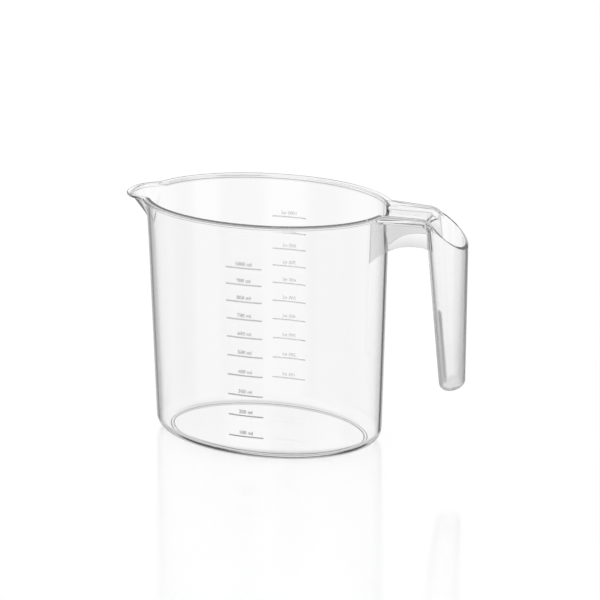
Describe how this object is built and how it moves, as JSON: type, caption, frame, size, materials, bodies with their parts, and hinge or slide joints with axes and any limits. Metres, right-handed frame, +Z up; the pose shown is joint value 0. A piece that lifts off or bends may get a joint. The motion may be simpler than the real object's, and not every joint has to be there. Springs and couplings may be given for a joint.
{
  "type": "measuring jug",
  "caption": "Clear one-litre measuring jug: oval drafted body with a pouring spout, graduation bars on front and rear, and a bridged hollow grip with a slanted open top",
  "frame": {"origin": "on the table, under the middle of the whole outline", "axes": "+Z up, +X towards the handle, -X towards the spout, Y across the jug"},
  "size_m": [0.194, 0.096, 0.14],
  "materials": {
    "clear_plastic": "clear smooth moulded polypropylene",
    "clear_grip": "clear polypropylene, slightly milky",
    "scale_bars": "raised clear bars, grey where they catch the light"
  },
  "bodies": {
    "root": {"body_wall": "clear_plastic", "base_edge": "clear_plastic", "base": "clear_plastic", "foot_ring": "clear_plastic", "rim_front": "clear_plastic", "rim_rear": "clear_plastic", "spout": "clear_plastic", "spout_lip": "clear_plastic", "bridge_floor": "clear_plastic", "bridge_front_flange": "clear_plastic", "bridge_rear_flange": "clear_plastic", "bridge_front_skirt": "clear_plastic", "bridge_rear_skirt": "clear_plastic", "grip_tube": "clear_grip", "grip_edge": "clear_grip", "grip_end": "clear_grip", "grip_rib": "clear_grip", "front_scale": "scale_bars", "rear_scale": "scale_bars"}
  },
  "joints": []
}
